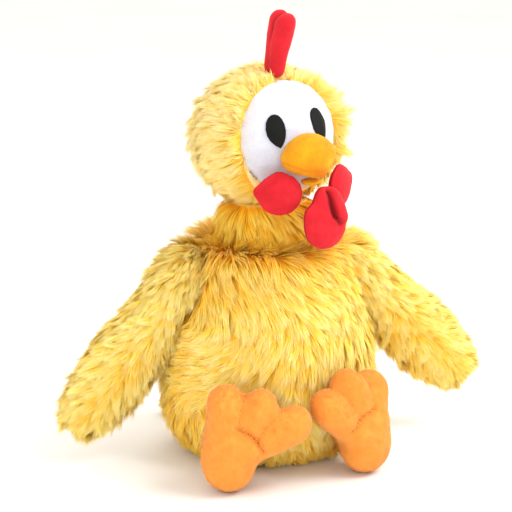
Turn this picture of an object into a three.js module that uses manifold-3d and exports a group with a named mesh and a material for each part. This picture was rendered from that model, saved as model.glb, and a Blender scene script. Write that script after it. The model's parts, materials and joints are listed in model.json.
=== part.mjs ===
import * as THREE from 'three';
import { mergeVertices } from 'three/addons/utils/BufferGeometryUtils.js';
import Module from 'manifold-3d';

// A seated stuffed chicken in long-pile fur fabric. Millimetres, +Z up, facing -Y, its left at +X.
// The origin is the centre of the flat seat. Fur panels are as thick as the cloth with its dense
// pile, and every body turns inside a pocket of its own shape, so nothing touches as it moves.

const GAP = 0.3;
const TURNING_GAP = 0.8;
const SWEPT_GAP = 2.5;
const POCKET_REACH = 40;
const FUR = 8;
const PLUSH = 3;
const FLEECE = 2;
const FELT = 1.2;

// Body
const BODY_OUTLINE = [[64, 0], [78, 20], [85, 45], [82, 88], [74, 118], [64, 148], [55, 168]];
const BODY_HEIGHT = 168;
const BODY_DEPTH_RATIO = 0.9;
const BODY_ROUND_FROM = 95;
const BODY_ROUND_TO = 138;
const BASE_THICKNESS = 4;
const PELLET_RADIUS = 38;
const PELLET_HEIGHT = 26;
const SEAM_ANGLE = 0.2;
const BODY_FACETS = 7;
const BODY_STEPS = 10;

// Neck and head
const NECK_PIVOT = 178;
const NECK_RADIUS = 39;
const NECK_TOP = 202;
const HEAD_CENTRE = 249;
const HEAD_RADII = [56, 54, 53];
const HEAD_TURN = 15;
const HEAD_ROLL = -4;
const HEAD_BACK_SEAM = 14;
const FACE_RADIUS = 50;
const FACE_WIDTH = 85;
const FACE_HEIGHT = 83;
const FACE_PITCH = 7;
const FACE_CUT = 80;

// Eyes
const EYES = { left: { side: 1, angle: 21 }, right: { side: -1, angle: 24 } };
const EYE_RISE_ANGLE = 14;
const EYE_WIDTH = 15;
const EYE_HEIGHT = 25.5;
const EYE_CUT = 12;

// Beak
const BEAK_BULB = { centre: [0, -56, -6.5], radii: [21.5, 18, 16.5] };
const BEAK_TIP = { centre: [0, -66, -14.5], radii: [11, 10, 9] };
const LOWER_BEAK = { centre: [0, -58, -26.8], radii: [8, 10, 2.4] };

// Wattles and comb
const CHEEKS = {
  left: { side: 1, angle: 30, top: -18 },
  right: { side: -1, angle: 25, top: -14 },
};
const CHEEK_DISTANCE = 59;
const CHEEK_RADIUS = 17;
const CHEEK_THICKNESS = 12;
const CHEEK_TOP = { centre: [0, 0, -7], radii: [8, 4, 6] };
const CENTRE_WATTLE_PIVOT = [2, -71, -30.8];
const CENTRE_WATTLE_LENGTH = 46;
const CENTRE_WATTLE_RADIUS = 18.5;
const CENTRE_WATTLE_THICKNESS = 17;
const CENTRE_WATTLE_STALK = { top: [0, 0, -6], radius: 6 };
const CENTRE_WATTLE_FOLD = { top: [4, 0, -8], bottom: [11, 0, -24], radius: 7.5 };
const WATTLE_CLOTH = 1.8;
const COMB_PIVOT = [0, -14, 52];
const COMB_HEIGHT = 45;
const COMB_LOBE_RADIUS = 8;
const COMB_LOBE_SPACING = 9;
const COMB_LOBE_LEAN = 1.5;
const COMB_THICKNESS = 12;
const COMB_PITCH = 10;
const COMB_LEAN = 7;

// Wings
const SHOULDER = [62, 0, 147];
const WINGS = {
  left: { side: 1, drop: 45, length: 141 },
  right: { side: -1, drop: 51, length: 149 },
};
const WING_FORWARD = 4;
const WING_ROOT_RADIUS = 22;
const WING_HALF_WIDTH = 27;
const WING_HALF_DEPTH = 19;
const WING_TIP_SHARE = 0.72;
const WING_NOSE = 16;
const WING_BLUNTNESS = 4;
const WING_WIDENS = [0.25, 0.65];
const WING_TAPERS_FROM = 0.55;
const WING_CLOTH = 7;
const WING_SWING = [0, 75];
const ARMPIT_LENGTH = 62;
const ARMPIT_GAP = 3;

// Legs and feet
const HIP_HEIGHT = 28;
const HIP_FORWARD = 54;
const LEGS = {
  left: { side: 1, out: 41, splay: 22, length: 20, foot: 29 },
  right: { side: -1, out: 45, splay: 17, length: 29, foot: 39 },
};
const LEG_RADIUS = 14;
const LEG_SEWN_EDGE = 3;
const LEG_SWING = [0, 18];
const FOOT_DEPTH_RATIO = 1.12;
const FOOT_SWING = [0, 25];
const HEEL_RADII = [23, 18, 26];
const HEEL_RISE = 24;
// Each toe from the outer to the inner one: its lean towards the other foot, its reach and radius.
const TOES = {
  left: [[-9, 38, 15.5], [20, 46, 15], [49, 48, 14.5]],
  right: [[-3, 38.5, 17], [31, 45, 14.5], [62, 55, 14.5]],
};

// Tail
const TAIL_PIVOT = [0, 61, 6.6];
const TAIL_ROOT_WIDTH = 60;
const TAIL_WIDTH = 118;
const TAIL_LENGTH = 34;
const TAIL_THICKNESS = 13;
const TAIL_CLOTH = 4;
const TAIL_ROUNDING = 6;
const TAIL_BEVEL = 2;
const TAIL_SWING = [0, 20];

const wasm = await Module();
wasm.setup();

const rad = THREE.MathUtils.degToRad;

const material = (color, roughness) => new THREE.MeshStandardMaterial({ color, roughness, metalness: 0 });
const yellowFur = material(0xf6d264, 0.95);
const goldenFur = material(0xe9b23a, 0.95);
const whiteFleece = material(0xf2f2f4, 0.9);
const blackFelt = material(0x1c1d1d, 0.95);
const beakPlush = material(0xeba62c, 0.85);
const redPlush = material(0xe6303f, 0.85);
const orangePlush = material(0xf3a04a, 0.9);
const baseCloth = material(0xe8b660, 0.95);
const filling = material(0xf7f7f2, 1);
const pelletCloth = material(0xd9d4c4, 0.9);

const chicken = new THREE.Group();

function addMesh(parent, name, geometry, look) {
  const mesh = new THREE.Mesh(geometry, look);
  mesh.name = name;
  parent.add(mesh);
}

// ---- Closed shapes bent from a box or a cylinder ----

function signedVolume(geometry) {
  const at = geometry.attributes.position;
  const index = geometry.index.array;
  const [a, b, c] = [new THREE.Vector3(), new THREE.Vector3(), new THREE.Vector3()];
  let volume = 0;
  for (let i = 0; i < index.length; i += 3) {
    a.fromBufferAttribute(at, index[i]);
    b.fromBufferAttribute(at, index[i + 1]);
    c.fromBufferAttribute(at, index[i + 2]);
    volume += a.dot(b.cross(c)) / 6;
  }
  return volume;
}

// Shared corners are merged, and a shape that its bend mirrored is turned right side out.
function closed(geometry) {
  geometry.deleteAttribute('normal');
  geometry.deleteAttribute('uv');
  const merged = mergeVertices(geometry, 1e-4);
  if (signedVolume(merged) < 0) {
    merged.index.array.reverse();
  }
  return merged;
}

function bent(geometry, place) {
  const at = geometry.attributes.position;
  const point = new THREE.Vector3();
  for (let i = 0; i < at.count; i += 1) {
    point.fromBufferAttribute(at, i);
    at.setXYZ(i, ...place(point));
  }
  return closed(geometry);
}

// A sheet with thickness: across and along run from 0 to 1, and depth from 0 outside to 1 inside.
function sheet(across, along, place) {
  const box = new THREE.BoxGeometry(1, 1, 1, across, 1, along);
  return bent(box, (p) => place(p.x + 0.5, p.z + 0.5, 0.5 - p.y));
}

// A solid with a round section: the angle, its reach from the middle and the place along it.
function bar(around, along, place) {
  const cylinder = new THREE.CylinderGeometry(1, 1, 1, around, along);
  return bent(cylinder, (p) => place(Math.atan2(p.z, p.x), Math.hypot(p.x, p.z), p.y + 0.5));
}

// ---- Solids that are joined and cut ----

function solid(geometry) {
  const merged = closed(geometry);
  const vertProperties = new Float32Array(merged.attributes.position.array);
  const triVerts = new Uint32Array(merged.index.array);
  return new wasm.Manifold(new wasm.Mesh({ numProp: 3, vertProperties, triVerts }));
}

function surface(body) {
  const { vertProperties, triVerts } = body.getMesh();
  const geometry = new THREE.BufferGeometry();
  geometry.setAttribute('position', new THREE.BufferAttribute(vertProperties, 3));
  geometry.setIndex(new THREE.BufferAttribute(triVerts, 1));
  return geometry.toNonIndexed();
}

const joined = (bodies) => bodies.reduce((whole, body) => whole.add(body));

function ellipsoid(centre, radii, around = 14, rise = 8) {
  const ball = new THREE.SphereGeometry(1, around, rise);
  ball.rotateX(Math.PI / 2);
  ball.scale(...radii);
  ball.translate(...centre);
  return solid(ball);
}

// A round-ended bar between two points, flattened or fattened along Y about their height.
function capsule(from, to, radius, depthRatio = 1) {
  const start = new THREE.Vector3(...from);
  const end = new THREE.Vector3(...to);
  const along = end.clone().sub(start);
  const shape = new THREE.CapsuleGeometry(radius, along.length(), 3, 10);
  shape.translate(0, along.length() / 2, 0);
  const turn = new THREE.Quaternion();
  turn.setFromUnitVectors(new THREE.Vector3(0, 1, 0), along.normalize());
  shape.applyQuaternion(turn);
  shape.scale(1, depthRatio, 1);
  shape.translate(...from);
  return solid(shape);
}

function block(min, max) {
  const size = max.map((value, i) => value - min[i]);
  const box = new THREE.BoxGeometry(...size);
  box.translate(...max.map((value, i) => (value + min[i]) / 2));
  return solid(box);
}

const FAR = 300;
const AXES = ['x', 'y', 'z'];

// The side of a flat cut that a cloth panel keeps, half a gap away from it.
function half(axis, sign, at = 0) {
  const min = [-FAR, -FAR, -FAR];
  const max = [FAR, FAR, FAR];
  const i = AXES.indexOf(axis);
  if (sign > 0) {
    min[i] = at + GAP / 2;
  } else {
    max[i] = at - GAP / 2;
  }
  return block(min, max);
}

// ---- Body ----

const bodyCurve = new THREE.SplineCurve(BODY_OUTLINE.map((p) => new THREE.Vector2(...p)));

function bodyDepthRatio(height) {
  const roundness = THREE.MathUtils.smoothstep(height, BODY_ROUND_FROM, BODY_ROUND_TO);
  return BODY_DEPTH_RATIO + (1 - BODY_DEPTH_RATIO) * roundness;
}

function bodyPoint(angle, radius, height) {
  return [radius * Math.cos(angle), radius * bodyDepthRatio(height) * Math.sin(angle), height];
}

const middle = ([least, most]) => rad((least + most) / 2);

// The room that a leg sweeps in the body as it splays.
function hipPocket({ side, out, splay }) {
  const hip = [out * side, -HIP_FORWARD, HIP_HEIGHT];
  const angle = (rad(splay) + middle(LEG_SWING)) * side;
  const end = [hip[0] + POCKET_REACH * Math.sin(angle), hip[1] - POCKET_REACH * Math.cos(angle), hip[2]];
  return capsule(hip, end, LEG_RADIUS + SWEPT_GAP);
}

// The room that a wing sweeps as it lifts, which leaves the armpit a little hollow.
function shoulderPocket(wing) {
  const shoulder = [SHOULDER[0] * wing.side, SHOULDER[1], SHOULDER[2]];
  const sweeps = WING_SWING.map((lift) => {
    const arm = new THREE.Vector3(ARMPIT_LENGTH, 0, 0).applyMatrix4(wingPlace(wing, lift));
    return capsule(shoulder, arm.toArray(), WING_ROOT_RADIUS + ARMPIT_GAP);
  });
  return joined(sweeps);
}

function tailPocket() {
  const halfWidth = TAIL_ROOT_WIDTH / 2 + 1;
  const radius = TAIL_THICKNESS / 2 + TURNING_GAP;
  const sweeps = TAIL_SWING.map((lift) => {
    const plate = new THREE.BoxGeometry(halfWidth * 2, POCKET_REACH, radius * 2);
    plate.translate(0, POCKET_REACH / 2, 0);
    plate.rotateX(rad(lift));
    plate.translate(...TAIL_PIVOT);
    return solid(plate);
  });
  const roller = new THREE.CylinderGeometry(radius, radius, halfWidth * 2, 20);
  roller.rotateZ(Math.PI / 2);
  roller.translate(...TAIL_PIVOT);
  return joined([...sweeps, solid(roller)]);
}

function bodyPanel(fromAngle, toAngle) {
  return sheet(BODY_FACETS, BODY_STEPS, (across, along, depth) => {
    const { x: radius, y: height } = bodyCurve.getPoint(along);
    const angle = rad(fromAngle + SEAM_ANGLE + (toAngle - fromAngle - 2 * SEAM_ANGLE) * across);
    return bodyPoint(angle, radius - FUR * depth, height);
  });
}

function dome(radius, height, foot, steps) {
  const arc = [];
  for (let i = 0; i <= steps; i += 1) {
    const angle = (Math.PI / 2) * (1 - i / steps);
    arc.push([radius * Math.cos(angle), foot + height * Math.sin(angle)]);
  }
  arc[0][0] = 0;
  return arc;
}

// The filling rises from a hollow over the pellets to a dish that the neck turns in.
function bodyFillingOutline() {
  const floor = BASE_THICKNESS + GAP;
  const hollow = dome(PELLET_RADIUS + GAP, PELLET_HEIGHT + GAP, floor, 4);
  const wall = [];
  for (let i = 0; i <= BODY_STEPS; i += 1) {
    const { x: radius, y: height } = bodyCurve.getPoint(i / BODY_STEPS);
    wall.push([radius - FUR - GAP, Math.max(height, floor)]);
  }
  const dishRadius = NECK_RADIUS + TURNING_GAP;
  const rim = Math.asin((NECK_PIVOT - BODY_HEIGHT) / dishRadius);
  const dish = [];
  for (let i = 0; i <= 5; i += 1) {
    const angle = rim + (Math.PI / 2 - rim) * (i / 5);
    dish.push([dishRadius * Math.cos(angle), NECK_PIVOT - dishRadius * Math.sin(angle)]);
  }
  dish[dish.length - 1][0] = 0;
  return [...hollow, ...wall, ...dish];
}

function turned(outline, around) {
  const lathe = new THREE.LatheGeometry(outline.map((p) => new THREE.Vector2(...p)), around);
  lathe.rotateX(Math.PI / 2);
  return bent(lathe, (p) => bodyPoint(Math.atan2(p.y, p.x), Math.hypot(p.x, p.y), p.z));
}

function buildBody() {
  const hips = Object.values(LEGS).map(hipPocket);
  const shoulders = Object.values(WINGS).map(shoulderPocket);
  const room = joined([...hips, ...shoulders, tailPocket()]);
  const panels = {
    body_front_left_panel: [-90, 0],
    body_back_left_panel: [0, 90],
    body_back_right_panel: [90, 180],
    body_front_right_panel: [180, 270],
  };
  for (const [name, [from, to]] of Object.entries(panels)) {
    addMesh(chicken, name, surface(solid(bodyPanel(from, to)).subtract(room)), yellowFur);
  }
  const baseRadius = BODY_OUTLINE[0][0] - FUR - GAP;
  const baseOutline = [[0, 0], [baseRadius, 0], [baseRadius, BASE_THICKNESS], [0, BASE_THICKNESS]];
  const base = turned(baseOutline, 4 * BODY_FACETS);
  addMesh(chicken, 'base_panel', surface(solid(base).subtract(room)), baseCloth);
  const inside = turned(bodyFillingOutline(), 4 * BODY_FACETS);
  addMesh(chicken, 'body_stuffing', surface(solid(inside).subtract(room)), filling);
  const floor = BASE_THICKNESS + GAP;
  const pellets = turned([...dome(PELLET_RADIUS, PELLET_HEIGHT, floor, 4), [0, floor]], 18);
  addMesh(chicken, 'pellet_bag', pellets, pelletCloth);
}

// ---- Neck ----

function buildNeck() {
  const trim = block([-FAR, -FAR, -FAR], [FAR, FAR, NECK_TOP]);
  const pivot = [0, 0, NECK_PIVOT];
  const ball = ellipsoid(pivot, [NECK_RADIUS, NECK_RADIUS, NECK_RADIUS], 24, 12).intersect(trim);
  const innerRadius = NECK_RADIUS - FUR;
  const core = ellipsoid(pivot, [innerRadius, innerRadius, innerRadius], 20, 10);
  const channel = ellipsoid(pivot, Array(3).fill(innerRadius + GAP), 20, 10);
  const cloth = ball.subtract(channel.add(capsule(pivot, [0, 0, FAR], innerRadius / 2)));
  addMesh(chicken, 'neck_left_panel', surface(cloth.intersect(half('x', 1))), goldenFur);
  addMesh(chicken, 'neck_right_panel', surface(cloth.intersect(half('x', -1))), goldenFur);
  const fillingTrim = block([-FAR, -FAR, -FAR], [FAR, FAR, NECK_TOP - GAP]);
  addMesh(chicken, 'neck_stuffing', surface(core.intersect(fillingTrim)), filling);
}

// ---- Padded pieces: two cloth covers that meet at a seam, with a filling between them ----

function buildPadded(parent, names, solidAt, axis, cloth, look, cut) {
  const outside = cut ? solidAt(0).subtract(cut) : solidAt(0);
  const shell = outside.subtract(solidAt(cloth));
  const stuffing = solidAt(cloth + GAP);
  addMesh(parent, names[0], surface(shell.intersect(half(axis, -1))), look);
  addMesh(parent, names[1], surface(shell.intersect(half(axis, 1))), look);
  addMesh(parent, names[2], surface(cut ? stuffing.subtract(cut) : stuffing), filling);
}

// ---- Head ----

const sphere = (radius) => ellipsoid([0, 0, 0], Array(3).fill(radius), 22, 12);

function faceCutter(margin) {
  const shape = new THREE.Shape();
  shape.absellipse(0, 0, FACE_WIDTH / 2 + margin, FACE_HEIGHT / 2 + margin, 0, Math.PI * 2);
  const opening = new THREE.ExtrudeGeometry(shape, { depth: FACE_CUT, bevelEnabled: false, curveSegments: 10 });
  opening.rotateX(rad(90 - FACE_PITCH));
  return solid(opening);
}

// The comb leans a little forward and to the left.
function combPlace() {
  const place = new THREE.Matrix4();
  place.makeRotationFromEuler(new THREE.Euler(rad(COMB_PITCH), rad(COMB_LEAN), 0));
  return place.setPosition(...COMB_PIVOT);
}

function combPocket() {
  const radius = COMB_THICKNESS / 2 + TURNING_GAP;
  const roller = new THREE.CapsuleGeometry(radius, COMB_LOBE_RADIUS * 2 + 2, 3, 14);
  roller.applyMatrix4(combPlace());
  return solid(roller);
}

function buildHead(head, features) {
  const roll = [0, HEAD_ROLL, 0];
  const bottom = NECK_TOP + GAP - HEAD_CENTRE;
  const above = block([-FAR, -FAR, bottom], [FAR, FAR, FAR]);
  const shrunk = (inset) => ellipsoid([0, 0, 0], HEAD_RADII.map((radius) => radius - inset), 22, 12);
  const pocket = combPocket().rotate(roll);
  const opening = faceCutter(GAP).rotate(roll);
  const fur = shrunk(0).subtract(joined([shrunk(FUR), opening, pocket])).intersect(above);
  const front = fur.intersect(half('y', -1, HEAD_BACK_SEAM));
  addMesh(head, 'head_left_panel', surface(front.intersect(half('x', 1))), yellowFur);
  addMesh(head, 'head_right_panel', surface(front.intersect(half('x', -1))), yellowFur);
  addMesh(head, 'head_back_panel', surface(fur.intersect(half('y', 1, HEAD_BACK_SEAM))), yellowFur);
  const face = sphere(FACE_RADIUS).subtract(sphere(FACE_RADIUS - FLEECE)).intersect(faceCutter(0));
  addMesh(features, 'face_panel', surface(face), whiteFleece);
  const core = shrunk(FUR + GAP).subtract(pocket).intersect(above);
  addMesh(head, 'head_stuffing', surface(core), filling);
}

// An eye is a flat oval with a point at its lower left end, lying on the face.
function buildEye(features, name, { side, angle }) {
  const shape = new THREE.Shape();
  const [w, h] = [EYE_WIDTH / 2, EYE_HEIGHT / 2];
  shape.moveTo(w * 0.35, -h);
  shape.bezierCurveTo(w * 0.75, -h * 0.8, w, -h * 0.4, w, 0);
  shape.bezierCurveTo(w, h * 0.5, w * 0.6, h, 0, h);
  shape.bezierCurveTo(-w * 0.45, h, -w, h * 0.75, -w, h * 0.15);
  shape.bezierCurveTo(-w, -h * 0.35, -w * 0.5, -h * 0.75, w * 0.35, -h);
  const felt = new THREE.ExtrudeGeometry(shape, { depth: EYE_CUT, bevelEnabled: false, curveSegments: 4 });
  felt.translate(0, 0, FACE_RADIUS - EYE_CUT / 2);
  felt.rotateX(rad(90 - EYE_RISE_ANGLE));
  felt.rotateZ(rad(angle) * side);
  const layer = sphere(FACE_RADIUS + GAP + FELT).subtract(sphere(FACE_RADIUS + GAP));
  addMesh(features, name, surface(solid(felt).intersect(layer)), blackFelt);
}

function buildBeak(features) {
  const behind = sphere(FACE_RADIUS + GAP);
  const shapeAt = (inset) => {
    const parts = [BEAK_BULB, BEAK_TIP].map(({ centre, radii }) => {
      return ellipsoid(centre, radii.map((radius) => radius - inset));
    });
    return joined(parts).subtract(behind);
  };
  const cover = shapeAt(0).subtract(shapeAt(PLUSH));
  const stuffing = shapeAt(PLUSH + GAP).subtract(sphere(FACE_RADIUS + 2 * GAP));
  addMesh(features, 'beak_upper', surface(cover), beakPlush);
  addMesh(features, 'beak_stuffing', surface(stuffing), filling);
  const lip = ellipsoid(LOWER_BEAK.centre, LOWER_BEAK.radii, 14, 8).subtract(behind);
  addMesh(features, 'lower_beak', surface(lip), beakPlush);
}

// A cheek wattle hangs from its narrow top at the side of the beak.
function buildCheekWattle(features, sideName, cheek) {
  const hanger = new THREE.Group();
  const angle = rad(cheek.angle) * cheek.side;
  hanger.position.set(CHEEK_DISTANCE * Math.sin(angle), -CHEEK_DISTANCE * Math.cos(angle), cheek.top);
  hanger.rotation.z = angle;
  features.add(hanger);
  const shapeAt = (inset) => {
    const radii = [CHEEK_RADIUS + 1, CHEEK_THICKNESS / 2, CHEEK_RADIUS].map((radius) => radius - inset);
    const lobe = ellipsoid([0, 0, -CHEEK_RADIUS - 2], radii);
    const top = ellipsoid(CHEEK_TOP.centre, CHEEK_TOP.radii.map((radius) => radius - inset), 10, 6);
    return lobe.add(top);
  };
  const names = ['front', 'back', 'stuffing'].map((piece) => `cheek_wattle_${sideName}_${piece}`);
  buildPadded(hanger, names, shapeAt, 'y', WATTLE_CLOTH, redPlush);
}

// The centre wattle is a teardrop with a second thickness folded along its left side.
function buildCentreWattle(features) {
  const hanger = new THREE.Group();
  hanger.position.set(...CENTRE_WATTLE_PIVOT);
  features.add(hanger);
  const radius = CENTRE_WATTLE_RADIUS;
  const low = radius - CENTRE_WATTLE_LENGTH;
  const shapeAt = (inset) => {
    const radii = [radius, CENTRE_WATTLE_THICKNESS / 2, radius].map((value) => value - inset);
    const lobe = ellipsoid([0, 0, low], radii);
    const stalk = capsule(CENTRE_WATTLE_STALK.top, [0, 0, low], CENTRE_WATTLE_STALK.radius - inset);
    const { top, bottom, radius: foldRadius } = CENTRE_WATTLE_FOLD;
    return joined([lobe, stalk, capsule(top, bottom, foldRadius - inset)]);
  };
  const names = ['front', 'back', 'stuffing'].map((piece) => `centre_wattle_${piece}`);
  buildPadded(hanger, names, shapeAt, 'y', WATTLE_CLOTH, redPlush);
}

function buildComb(features) {
  const stand = new THREE.Group();
  stand.applyMatrix4(combPlace());
  features.add(stand);
  const reach = COMB_HEIGHT - COMB_LOBE_RADIUS;
  const spread = COMB_LOBE_SPACING / 2;
  const lean = spread + Math.tan(rad(COMB_LOBE_LEAN)) * reach;
  const flatness = COMB_THICKNESS / 2 / COMB_LOBE_RADIUS;
  const foot = COMB_LOBE_RADIUS - COMB_THICKNESS / 2;
  const shapeAt = (inset) => {
    const lobes = [-1, 1].map((way) => {
      return capsule([0, way * spread, foot], [0, way * lean, reach], COMB_LOBE_RADIUS - inset);
    });
    return joined(lobes).scale([flatness, 1, 1]);
  };
  buildPadded(stand, ['comb_right', 'comb_left', 'comb_stuffing'], shapeAt, 'x', WATTLE_CLOTH, redPlush);
}

// ---- Wings ----

// Half the wing's width and depth at a distance from the shoulder: a ball, an arm that widens, and
// a blunt, square tip.
function wingSection(distance, length, inset) {
  if (distance < 0) {
    const radius = Math.sqrt((WING_ROOT_RADIUS - inset) ** 2 - distance ** 2);
    return [radius, radius];
  }
  const { smoothstep } = THREE.MathUtils;
  const widening = smoothstep(distance, ...WING_WIDENS.map((share) => share * length));
  const taper = 1 - (1 - WING_TIP_SHARE) * smoothstep(distance, WING_TAPERS_FROM * length, length);
  const nose = Math.max(distance - inset / 2 - (length - WING_NOSE), 0) / (WING_NOSE + WING_BLUNTNESS);
  const round = Math.sqrt(Math.max(1 - nose ** 2, 0));
  const width = WING_ROOT_RADIUS + (WING_HALF_WIDTH - WING_ROOT_RADIUS) * widening;
  const depth = WING_ROOT_RADIUS + (WING_HALF_DEPTH - WING_ROOT_RADIUS) * widening;
  return [width, depth].map((value) => value * taper * round - inset);
}

function wingShape(length, inset) {
  const start = -0.97 * (WING_ROOT_RADIUS - inset);
  const end = length - inset;
  return bar(14, 11, (angle, reach, along) => {
    const eased = (1 - Math.cos(Math.PI * along)) / 2;
    const distance = start + (end - start) * eased;
    const [width, depth] = wingSection(distance, length, inset);
    return [distance, Math.cos(angle) * reach * depth, Math.sin(angle) * reach * width];
  });
}

// A wing points outward and down from its shoulder, with its seams at the front and the back.
function wingPlace({ side, drop }, lift) {
  const turn = side > 0 ? -rad(WING_FORWARD) : Math.PI + rad(WING_FORWARD);
  const place = new THREE.Matrix4();
  place.makeRotationFromEuler(new THREE.Euler(0, rad(drop - lift), turn, 'ZYX'));
  return place.setPosition(SHOULDER[0] * side, SHOULDER[1], SHOULDER[2]);
}

function buildWing(sideName, size) {
  const wing = new THREE.Group();
  wing.applyMatrix4(wingPlace(size, 0));
  chicken.add(wing);
  const names = ['inner_panel', 'outer_panel', 'stuffing'].map((piece) => `wing_${sideName}_${piece}`);
  buildPadded(wing, names, (inset) => solid(wingShape(size.length, inset)), 'z', WING_CLOTH, yellowFur);
}

// ---- Legs and feet ----

function buildLeg(sideName, leg) {
  const hip = new THREE.Group();
  hip.position.set(leg.out * leg.side, -HIP_FORWARD, HIP_HEIGHT);
  hip.rotation.z = rad(leg.splay) * leg.side;
  chicken.add(hip);
  const shapeAt = (inset) => capsule([0, 0, 0], [0, -leg.length, 0], LEG_RADIUS - inset);
  const sewnEdge = block([-FAR, LEG_SEWN_EDGE, -FAR], [FAR, FAR, FAR]);
  const cover = shapeAt(0).subtract(shapeAt(PLUSH)).subtract(sewnEdge);
  addMesh(hip, `leg_${sideName}_cover`, surface(cover), orangePlush);
  addMesh(hip, `leg_${sideName}_stuffing`, surface(shapeAt(PLUSH + GAP)), filling);
  buildFoot(hip, sideName, leg);
}

// The room that the leg sweeps in the foot as the foot tips forward.
function anklePocket(behind) {
  const tip = middle(FOOT_SWING);
  const back = [0, behind + POCKET_REACH * Math.cos(tip), -POCKET_REACH * Math.sin(tip)];
  return capsule([0, behind, 0], back, LEG_RADIUS + SWEPT_GAP);
}

// A foot stands on its heel with its sole forward, and its toes lean towards the other foot.
function buildFoot(hip, sideName, leg) {
  const foot = new THREE.Group();
  foot.position.set(0, -leg.foot, 0);
  hip.add(foot);
  const heel = [0, 0, HEEL_RISE - HIP_HEIGHT];
  const toes = TOES[sideName].map(([lean, reach, radius]) => {
    const end = [-leg.side * Math.sin(rad(lean)) * reach, 0, heel[2] + Math.cos(rad(lean)) * reach];
    return { end, radius };
  });
  const shapeAt = (inset) => {
    const pad = ellipsoid(heel, HEEL_RADII.map((radius) => radius - inset));
    const bars = toes.map(({ end, radius }) => capsule(heel, end, radius - inset, FOOT_DEPTH_RATIO));
    const floor = block([-FAR, -FAR, -HIP_HEIGHT + inset], [FAR, FAR, FAR]);
    return joined([pad, ...bars]).intersect(floor);
  };
  const names = ['sole', 'upper', 'stuffing'].map((piece) => `foot_${sideName}_${piece}`);
  buildPadded(foot, names, shapeAt, 'y', PLUSH, orangePlush, anklePocket(leg.foot - leg.length));
}

// ---- Tail ----

function buildTail() {
  const tail = new THREE.Group();
  tail.position.set(...TAIL_PIVOT);
  chicken.add(tail);
  const [root, tip] = [TAIL_ROOT_WIDTH / 2, TAIL_WIDTH / 2];
  const outline = new THREE.Shape();
  outline.moveTo(-root, 0);
  outline.lineTo(root, 0);
  outline.lineTo(tip, TAIL_LENGTH - TAIL_ROUNDING);
  outline.quadraticCurveTo(0, TAIL_LENGTH + TAIL_ROUNDING, -tip, TAIL_LENGTH - TAIL_ROUNDING);
  outline.closePath();
  const shapeAt = (inset) => {
    const fan = new THREE.ExtrudeGeometry(outline, {
      depth: TAIL_THICKNESS - 2 * (inset + TAIL_BEVEL),
      bevelSize: TAIL_BEVEL,
      bevelThickness: TAIL_BEVEL,
      bevelOffset: -TAIL_BEVEL - inset,
      bevelSegments: 2,
      curveSegments: 12,
    });
    fan.translate(0, -inset, TAIL_BEVEL + inset - TAIL_THICKNESS / 2);
    const radius = TAIL_THICKNESS / 2 - inset;
    const roller = new THREE.CylinderGeometry(radius, radius, TAIL_ROOT_WIDTH - 2 * inset, 18);
    roller.rotateZ(Math.PI / 2);
    return solid(fan).add(solid(roller));
  };
  buildPadded(tail, ['tail_bottom', 'tail_top', 'tail_stuffing'], shapeAt, 'z', TAIL_CLOTH, yellowFur);
}

buildBody();
buildNeck();
buildTail();

const head = new THREE.Group();
head.position.set(0, 0, HEAD_CENTRE);
head.rotation.z = rad(HEAD_TURN);
chicken.add(head);
const features = new THREE.Group();
features.rotation.y = rad(HEAD_ROLL);
head.add(features);
buildHead(head, features);
buildBeak(features);
buildCentreWattle(features);
buildComb(features);

for (const sideName of ['left', 'right']) {
  buildEye(features, `eye_${sideName}`, EYES[sideName]);
  buildCheekWattle(features, sideName, CHEEKS[sideName]);
  buildWing(sideName, WINGS[sideName]);
  buildLeg(sideName, LEGS[sideName]);
}

export default chicken;
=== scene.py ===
import json
import math

import bmesh
import bpy
import numpy as np
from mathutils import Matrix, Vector
from mathutils.kdtree import KDTree


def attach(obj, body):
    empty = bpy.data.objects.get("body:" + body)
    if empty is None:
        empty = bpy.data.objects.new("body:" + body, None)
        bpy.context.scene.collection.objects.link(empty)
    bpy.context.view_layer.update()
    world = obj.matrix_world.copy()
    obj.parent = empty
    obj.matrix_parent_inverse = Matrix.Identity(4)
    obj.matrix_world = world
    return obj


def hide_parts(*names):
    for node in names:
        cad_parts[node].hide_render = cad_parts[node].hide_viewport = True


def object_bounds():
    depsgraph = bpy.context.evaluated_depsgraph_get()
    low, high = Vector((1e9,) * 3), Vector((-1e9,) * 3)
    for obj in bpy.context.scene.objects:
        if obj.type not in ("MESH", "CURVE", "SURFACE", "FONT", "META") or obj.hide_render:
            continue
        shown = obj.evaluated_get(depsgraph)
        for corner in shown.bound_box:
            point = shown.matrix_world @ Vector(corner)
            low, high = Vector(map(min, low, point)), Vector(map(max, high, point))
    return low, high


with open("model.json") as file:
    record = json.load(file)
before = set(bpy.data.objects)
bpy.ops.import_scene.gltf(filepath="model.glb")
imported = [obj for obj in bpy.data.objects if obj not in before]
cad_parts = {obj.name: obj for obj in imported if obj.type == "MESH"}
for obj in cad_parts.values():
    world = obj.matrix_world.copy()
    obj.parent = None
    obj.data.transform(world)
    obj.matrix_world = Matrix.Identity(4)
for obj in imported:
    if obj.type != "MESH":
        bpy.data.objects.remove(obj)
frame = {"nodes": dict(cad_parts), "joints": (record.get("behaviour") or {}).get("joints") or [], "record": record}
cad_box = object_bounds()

# A seated stuffed chicken in long-pile fur fabric. Metres, +Z up, facing -Y, its left at +X.
# Each stuffed piece is one closed skin grown from its CAD cloth and filling. The face, the eyes and
# the lower beak are skins grown from one CAD node each. The long pile and the feet's short nap are
# strands of their own, rooted on those skins.

MM = 0.001
UP = np.array([0.0, 0.0, 1.0])
HEAD_CENTRE = np.array([0, 0, 249]) * MM

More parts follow.
